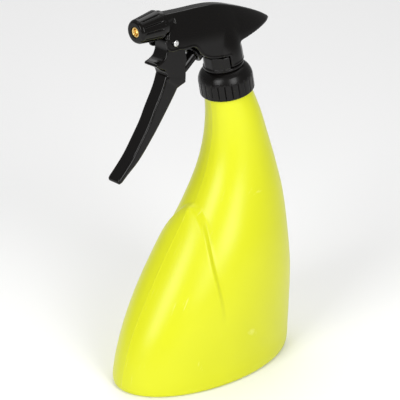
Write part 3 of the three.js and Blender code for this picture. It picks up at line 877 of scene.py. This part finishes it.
def makeCoilTree():
    # a round wire wound into a coil along z
    tree, wire, size = newTree("wound_wire", ["Turns", "Coil Radius", "Wire Radius", "Length", "Start"])
    spiral = wire.node("GeometryNodeCurveSpiral", None, {
        "Resolution": 40, "Rotations": size["Turns"], "Start Radius": size["Coil Radius"],
        "End Radius": size["Coil Radius"], "Height": size["Length"]})
    section = wire.node("GeometryNodeCurvePrimitiveCircle", None, {
        "Resolution": 12, "Radius": size["Wire Radius"]})
    tube = wire.node("GeometryNodeCurveToMesh", None, {
        "Curve": spiral, "Profile Curve": section, "Fill Caps": True})
    lift = wire.node("ShaderNodeCombineXYZ", None, {2: size["Start"]})
    placed = wire.node("GeometryNodeSetPosition", None, {"Geometry": tube, "Offset": lift})
    endTree(wire, size, placed)
    return tree


def grown(mesh, tree, finish, sizes):
    # runs a tree on a mesh and gives the plain mesh that comes out
    holder = bpy.data.objects.new("holder", mesh)
    bpy.context.scene.collection.objects.link(holder)
    modifier = holder.modifiers.new("grown", "NODES")
    modifier.node_group = tree
    for item in tree.interface.items_tree:
        if item.in_out == "INPUT" and item.name in sizes:
            modifier[item.identifier] = float(sizes[item.name])
        elif item.in_out == "INPUT" and item.name == "Finish":
            modifier[item.identifier] = finish
    holder.update_tag()
    graph = bpy.context.evaluated_depsgraph_get()
    made = bpy.data.meshes.new_from_object(holder.evaluated_get(graph))
    holder.modifiers.clear()
    bpy.data.objects.remove(holder)
    return made


gripTree = makeGripTree()
coilTree = makeCoilTree()


def coilMesh(coil, finish):
    made = grown(bpy.data.meshes.new("empty"), coilTree, finish, {
        "Turns": coil["turns"], "Coil Radius": coil["radius"], "Wire Radius": coil["wire"],
        "Length": coil["to"] - coil["from"], "Start": coil["from"]})
    points = [tuple(v.co) for v in made.vertices]
    return newMesh("coil", points, [tuple(p.vertices) for p in made.polygons])


# bottle and its thread

bottleThread = {"turns": 1.5, "radius": 13.35, "wire": 1.0, "from": 4.0, "to": 9.6}
bottleMesh = makeBottle()
threadMesh = coilMesh(bottleThread, limePaint)
threadMesh.transform(standFrame.inverted() @ headFrame)
finishPiece("bottle_wall", joinedMesh([bottleMesh, threadMesh]), standFrame, "bottle", None, 60)
print("bottle made")


# collar

collarShape = {
    "profile": [
        (16, 0), (18.5, 0, 0.2), (19, 0.5, 0.4), (19, 1.4), (19, 3), (19, 5), (19, 7), (19, 8.4),
        (19, 9.8, 0.3), (18.95, 10.8), (18.75, 11.9), (18.3, 13.2), (17.7, 14.5), (16.9, 15.8),
        (15.9, 16.9), (14.8, 17.8), (13.8, 18.3), (13.0, 18.6, 0.3), (11.9, 18.6), (11.9, 15.6), (16, 15.6),
    ],
    "grooves": {"Count": 24, "Depth": 0.75, "Low": 2.0, "High": 10.8, "Fade": 1.4, "Fill": 0.42,
                "Least Radius": 17.6},
    "thread": {"turns": 1.5, "radius": 16.1, "wire": 1.0, "from": 2.8, "to": 8.4},
}


def denser(profile, step):
    # extra points on the long stretches, so that a tree can shape them
    points = []
    for a, b in zip(profile, profile[1:] + profile[:1]):
        points.append(a)
        length = math.hypot(b[0] - a[0], b[1] - a[1])
        for i in range(1, int(length // step)):
            t = i / (length // step)
            points.append((a[0] + (b[0] - a[0]) * t, a[1] + (b[1] - a[1]) * t, 0))
    return points


collarTurned = turnedMesh(denser(collarShape["profile"], 0.6), 0.2, 24 * 14)
collarMesh = grown(collarTurned, gripTree, glossPaint, collarShape["grooves"])
collarThread = coilMesh(collarShape["thread"], glossPaint)
finishPiece("collar_ribbed", joinedMesh([collarMesh, collarThread]), headFrame, "collar", satinPaint, 50)


# nozzle

capShape = {
    "profile": [
        (6.4, 0), (9.9, 0, 0.3), (10.3, 0.6, 0.5), (8.2, 17, 1.4), (7.2, 18.5, 0.6), (6.4, 18.8, 0.3),
        (3.8, 18.8, 0.3), (3.8, 14.6), (5.4, 14.6), (5.4, 12.2), (6.4, 12.2), (6.4, 7.1), (7.25, 7.1),
        (7.25, 5.5), (6.4, 5.5),
    ],
    "grooves": {"Count": 12, "Depth": 0.6, "Low": 3.0, "High": 14.8, "Fade": 1.8, "Fill": 0.45,
                "Least Radius": 7.6},
}
capTurned = turnedMesh(denser(capShape["profile"], 0.6), 0.2, 12 * 20)
finishPiece("nozzle_cap_fluted", grown(capTurned, gripTree, glossPaint, capShape["grooves"]), nozzleFrame,
            "nozzle_cap", None, 50)


# turned pieces: frame, node and outline

turnedPieces = {
    "nozzle_insert_brass": (nozzleFrame, "nozzle_insert", [
        (0.7, 12.7), (4.9, 12.7), (4.9, 14.2), (3.5, 14.2), (3.5, 18.3, 0.35), (2.7, 18.3, 0.3),
        (2.2, 17.4, 0.3), (2.0, 16.2), (0.9, 15.6), (0.7, 15.2)]),
    "nozzle_barrel_spigot": (nozzleFrame, "nozzle_barrel", [
        (1.9, -9), (2.05, -12), (4, -12), (4, -3.6), (9, -3.6), (9, -0.8), (5.6, -0.8), (5.6, 11.2),
        (5.2, 11.6), (3, 11.6), (3, 3), (1.2, 2.4), (1.2, -7.6), (2.05, -8)]),
    "nozzle_seal_ring": (nozzleFrame, "nozzle_seal", ringProfile(6.45, 0.4, 6.3)),
    "neck_gasket_ring": (headFrame, "neck_gasket", [(11.3, 12.4), (13.9, 12.4), (13.9, 13.7), (11.3, 13.7)]),
    "inlet_seat_turned": (headFrame, "inlet_seat", [
        (1.2, 8), (3.05, 8), (3.05, -2), (4, -2), (4, 8.4), (6.6, 9.4), (6.6, 19.6), (2, 19.6), (1.2, 18.6)]),
    "inlet_ball_round": (headFrame, "inlet_ball", ballProfile(2, 22)),
    "dip_tube_long": (headFrame, "dip_tube", [(1.9, -196), (2.75, -196), (2.75, 7.6), (1.9, 7.6)]),
    "outlet_seat_turned": (headFrame, "outlet_seat", [
        (1.2, 49.35), (2.65, 49.35), (2.65, 51.25), (1.7, 51.25), (1.2, 50.65)]),
    "outlet_ball_round": (headFrame, "outlet_ball", ballProfile(1.8, 52.2)),
    "outlet_cap_plug": (headFrame, "outlet_cap", [
        (0, 57.9), (2.65, 57.9), (2.65, 58.85), (3.9, 58.85), (3.9, 59.9, 0.4), (1.2, 59.9), (0, 59.6)]),
    "piston_body": (pumpFrame, "piston", [
        (0, -9), *[(3.9 * math.sin(a), -5.1 - 3.9 * math.cos(a), 0) for a in np.linspace(0.25, 1.57, 8)],
        (3.9, 9.6), (4.25, 10), (4.25, 12), (3.2, 12), (3.2, 14.2), (4.25, 14.2), (4.25, 16), (2.8, 16),
        (2.8, -5.4), (0, -5.4)]),     # bored deep, so that the spring fits inside at full stroke
    "piston_seal_ring": (pumpFrame, "piston_seal", ringProfile(3.9, 0.36, 13.1)),
}
for pieceName, (place, node, profile) in turnedPieces.items():
    rounding = 0 if "ring" in pieceName and "gasket" not in pieceName else 0.2
    finishPiece(pieceName, turnedMesh(profile, rounding), place, node)

# the pin lies across the head, with a dimple in each of its heads
pinFrame = headFrame @ Matrix.Translation((pin["x"], 0, pin["z"])) @ Matrix.Rotation(math.pi / 2, 4, "X")
pinHalf = [(0, 10.7), (0.45, 10.85), (0.75, 11.3, 0.15), (1.45, 11.35, 0.3), (2.1, 10.95, 0.25),
           (2.1, 10.55), (1.5, 10.55)]
pinProfile = [(r, -z, *more) for r, z, *more in pinHalf] + list(reversed(pinHalf))
finishPiece("trigger_pin_riveted", turnedMesh(pinProfile, 0.1), pinFrame, "trigger_pin")

coils = {
    "return_spring_coil": (pumpFrame, "return_spring",
                           {"turns": 7, "radius": 2.05, "wire": 0.35, "from": 4.8, "to": 25.7}),
    "outlet_spring_coil": (headFrame, "outlet_spring",
                           {"turns": 3, "radius": 1.9, "wire": 0.3, "from": 54.6, "to": 57.2}),
}
for pieceName, (place, node, coil) in coils.items():
    finishPiece(pieceName, coilMesh(coil, steelPaint), place, node, None, 60)
print("turned pieces made:", len(turnedPieces) + 1 + len(coils))

# moulded pieces: node, lowest and highest corner, cell, field

mouldedPieces = {
    "shroud_hood": (
        "shroud", (-53, -14.5, 21.5), (46, 14.5, 80), hoodShape["cell"], shroudField, glossPaint),
    "trigger_lever": (
        "trigger", (-110.5, -7, -21), (-37, 7, 64), triggerShape["cell"], triggerField, glossPaint),
    "pump_body_moulded": (
        "pump_body", (-26, -15, 13.5), (15, 15, 59.5), pumpShape["cell"], pumpField, satinPaint),
    "tube_strainer_slotted": (
        "tube_strainer", (-5.5, -5.5, -199.5), (5.5, 5.5, -186), 0.25, strainerField, naturalPaint),
}
for pieceName, (node, low, high, cell, field, paint) in mouldedPieces.items():
    finishPiece(pieceName, mouldedMesh(low, high, cell, field), headFrame, node, paint, 70)
    print(pieceName, "made")

# hidden pieces that keep their CAD mesh

for node in ("swirl_core", "discharge_tube"):
    shown = frame["nodes"][node].data
    shown.materials.clear()
    shown.materials.append(naturalPaint)

# floor, light and camera

stageShape = {"size": 9.0, "colour": (0.95, 0.95, 0.95), "world": 0.32}
cameraShape = {
    "target": (-11.73, 0, 140), "distance": 1200, "azimuth": 42.275, "elevation": 22.673,
    "lens": 156.5, "shift": (0.0275, -0.0408),
}
# place and aim in metres, size in metres, power in watts
softboxes = {
    "overhead": ((0.3, 0.4, 1.7), (0, 0, 0.1), (1.8, 1.8), 9.2),
    "backdrop": ((1.1, 1.2, 1.9), (1.1, 1.2, 0), (1.6, 1.6), 13),
    "window_left": ((-0.92, -0.20, 0.60), (0, 0, 0.2), (0.42, 0.62), 6),
    "window_right": ((-0.18, -0.93, 0.60), (0, 0, 0.2), (0.42, 0.62), 6),
}


def makeStage():
    half = stageShape["size"] / 2
    mesh = bpy.data.meshes.new("floor")
    corners = [(-half, -half, 0), (half, -half, 0), (half, half, 0), (-half, half, 0)]
    mesh.from_pydata(corners, [], [(0, 1, 2, 3)])
    floor = bpy.data.objects.new("floor", mesh)
    bpy.context.scene.collection.objects.link(floor)
    paint, shader = newPaint("pale_floor")[:2]
    feed(shader, {"Base Color": (*stageShape["colour"], 1), "Roughness": 0.9, "Specular IOR Level": 0.1})
    mesh.materials.append(paint)
    world = bpy.data.worlds.new("studio")
    world.use_nodes = True
    feed(world.node_tree.nodes["Background"], {"Color": (1, 1, 1, 1), "Strength": stageShape["world"]})
    bpy.context.scene.world = world


def makeLights():
    for name, (place, aim, size, power) in softboxes.items():
        light = bpy.data.lights.new(name, "AREA")
        light.shape = "RECTANGLE"
        light.size, light.size_y = size
        light.energy = power
        lamp = bpy.data.objects.new(name, light)
        lamp.location = place
        lamp.rotation_mode = "QUATERNION"
        lamp.rotation_quaternion = (Vector(aim) - Vector(place)).to_track_quat("-Z", "Y")
        bpy.context.scene.collection.objects.link(lamp)


def makeCamera():
    shape = cameraShape
    turn, rise = math.radians(shape["azimuth"]), math.radians(shape["elevation"])
    back = Vector((-math.sin(turn) * math.cos(rise), -math.cos(turn) * math.cos(rise), math.sin(rise)))
    data = bpy.data.cameras.new("camera")
    data.lens = shape["lens"]
    data.shift_x, data.shift_y = shape["shift"]
    camera = bpy.data.objects.new("camera", data)
    camera.location = (Vector(shape["target"]) + back * shape["distance"]) * mm
    camera.rotation_mode = "QUATERNION"
    camera.rotation_quaternion = (-back).to_track_quat("-Z", "Y")
    bpy.context.scene.collection.objects.link(camera)
    bpy.context.scene.camera = camera


makeStage()
makeLights()
makeCamera()
bpy.context.scene.view_settings.view_transform = "Standard"
print("stage, lights and camera made")
